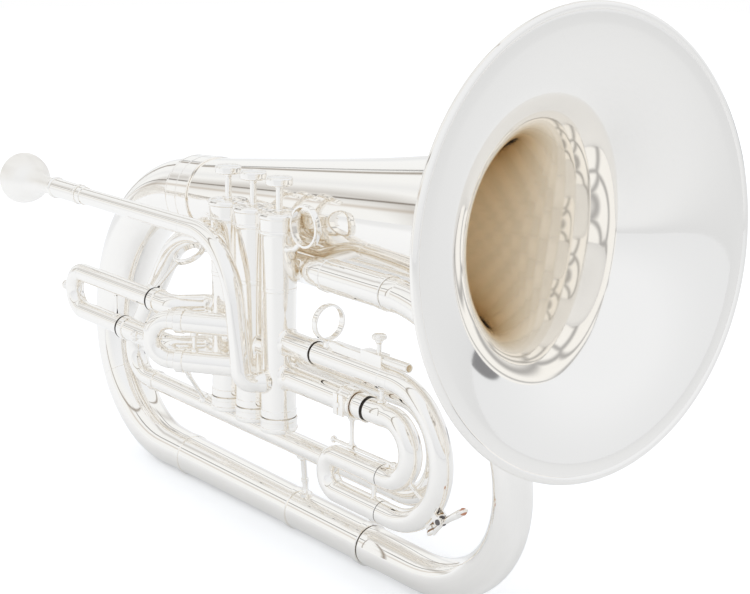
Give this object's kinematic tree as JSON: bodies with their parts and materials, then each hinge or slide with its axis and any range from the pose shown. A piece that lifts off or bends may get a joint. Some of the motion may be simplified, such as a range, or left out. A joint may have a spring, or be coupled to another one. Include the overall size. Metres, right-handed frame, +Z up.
{
  "type": "marching baritone",
  "caption": "Silver-plated marching baritone with a forward bell, piston valves, tuning and valve slides, a water key and a mouthpiece.",
  "frame": {"origin": "centre of the bounding box of the whole horn", "axes": "+X forward along the valve row to the bell, +Y to the player's left, +Z up towards the finger buttons"},
  "size_m": [0.5306, 0.254, 0.357],
  "materials": {
    "silver_plate": "silver-plated brass, polished to a mirror",
    "valve_alloy": "honed nickel-copper alloy",
    "spring_wire": "bright drawn wire"
  },
  "bodies": {
    "horn_body": {"bell": "silver_plate", "bottom_branch": "silver_plate", "bottom_branch_brace": "silver_plate", "bottom_cap_1": "silver_plate", "bottom_cap_2": "silver_plate", "bottom_cap_3": "silver_plate", "first_sleeve_brace": "silver_plate", "first_slide_lower_sleeve": "silver_plate", "first_slide_upper_sleeve": "silver_plate", "garland_ring": "silver_plate", "inner_bow": "silver_plate", "leadpipe": "silver_plate", "leadpipe_brace": "silver_plate", "main_lower_sleeve": "silver_plate", "main_upper_sleeve": "silver_plate", "mouthpiece_receiver": "silver_plate", "pinky_ring": "silver_plate", "rear_bow": "silver_plate", "second_slide_lower_sleeve": "silver_plate", "second_slide_upper_sleeve": "silver_plate", "stop_clamp": "silver_plate", "third_slide_lower_sleeve": "silver_plate", "third_slide_upper_sleeve": "silver_plate", "top_cap_1": "silver_plate", "top_cap_2": "silver_plate", "top_cap_3": "silver_plate", "upper_branch": "silver_plate", "valve_casing_1": "silver_plate", "valve_casing_2": "silver_plate", "valve_casing_3": "silver_plate", "valve_knuckle_1_2": "silver_plate", "valve_knuckle_2_3": "silver_plate", "valve_outlet_branch": "silver_plate", "valve_spring_1": "spring_wire", "valve_spring_2": "spring_wire", "valve_spring_3": "spring_wire"},
    "valve_1": {"piston_1": "valve_alloy", "valve_stem_1": "silver_plate", "finger_button_1": "silver_plate"},
    "valve_2": {"piston_2": "valve_alloy", "valve_stem_2": "silver_plate", "finger_button_2": "silver_plate"},
    "valve_3": {"piston_3": "valve_alloy", "valve_stem_3": "silver_plate", "finger_button_3": "silver_plate"},
    "main_slide": {"main_tuning_slide": "silver_plate"},
    "first_valve_slide": {"first_slide": "silver_plate", "first_slide_finger_ring": "silver_plate"},
    "second_valve_slide": {"second_slide": "silver_plate"},
    "third_valve_slide": {"third_slide_outer_bow": "silver_plate", "third_slide_inner_bow": "silver_plate", "third_slide_loop": "silver_plate", "third_slide_finger_ring": "silver_plate", "lyre_holder": "silver_plate", "stop_rod": "silver_plate", "water_key_saddle": "silver_plate"},
    "lyre_screw": {"lyre_thumbscrew": "silver_plate"},
    "water_key_lever": {"water_key": "silver_plate"},
    "mouthpiece_body": {"mouthpiece": "silver_plate"}
  },
  "joints": [
    {"name": "valve_1_press", "type": "slide", "parent": "horn_body", "child": "valve_1", "axis": [0, 0, -1], "range_m": [0, 0.016], "stiffness_N_per_m": 180, "springref_m": -0.02, "deforming": ["valve_spring_1"]},
    {"name": "valve_2_press", "type": "slide", "parent": "horn_body", "child": "valve_2", "axis": [0, 0, -1], "range_m": [0, 0.016], "stiffness_N_per_m": 180, "springref_m": -0.02, "deforming": ["valve_spring_2"]},
    {"name": "valve_3_press", "type": "slide", "parent": "horn_body", "child": "valve_3", "axis": [0, 0, -1], "range_m": [0, 0.016], "stiffness_N_per_m": 180, "springref_m": -0.02, "deforming": ["valve_spring_3"]},
    {"name": "main_slide_pull", "type": "slide", "parent": "horn_body", "child": "main_slide", "axis": [1, 0, 0], "range_m": [0, 0.014]},
    {"name": "first_slide_pull", "type": "slide", "parent": "horn_body", "child": "first_valve_slide", "axis": [-1, 0, 0], "range_m": [0, 0.015]},
    {"name": "second_slide_pull", "type": "slide", "parent": "horn_body", "child": "second_valve_slide", "axis": [-0.8271, -0.5621, 0], "range_m": [0, 0.015]},
    {"name": "third_slide_pull", "type": "slide", "parent": "horn_body", "child": "third_valve_slide", "axis": [1, 0, 0], "range_m": [0, 0.013]},
    {"name": "mouthpiece_draw", "type": "slide", "parent": "horn_body", "child": "mouthpiece_body", "axis": [-1, 0, 0], "range_m": [0, 0.025]},
    {"name": "lyre_screw_turn", "type": "hinge", "parent": "third_valve_slide", "child": "lyre_screw", "pos_m": [0.13572, -0.048, -0.02128], "axis": [0, 0, 1], "range_deg": [-180, 180]},
    {"name": "water_key_press", "type": "hinge", "parent": "third_valve_slide", "child": "water_key_lever", "pos_m": [0.19408, -0.048, -0.10943], "axis": [0, -1, 0], "range_deg": [0, 22], "stiffness_Nm_per_rad": 0.05, "springref_deg": -17.19}
  ]
}
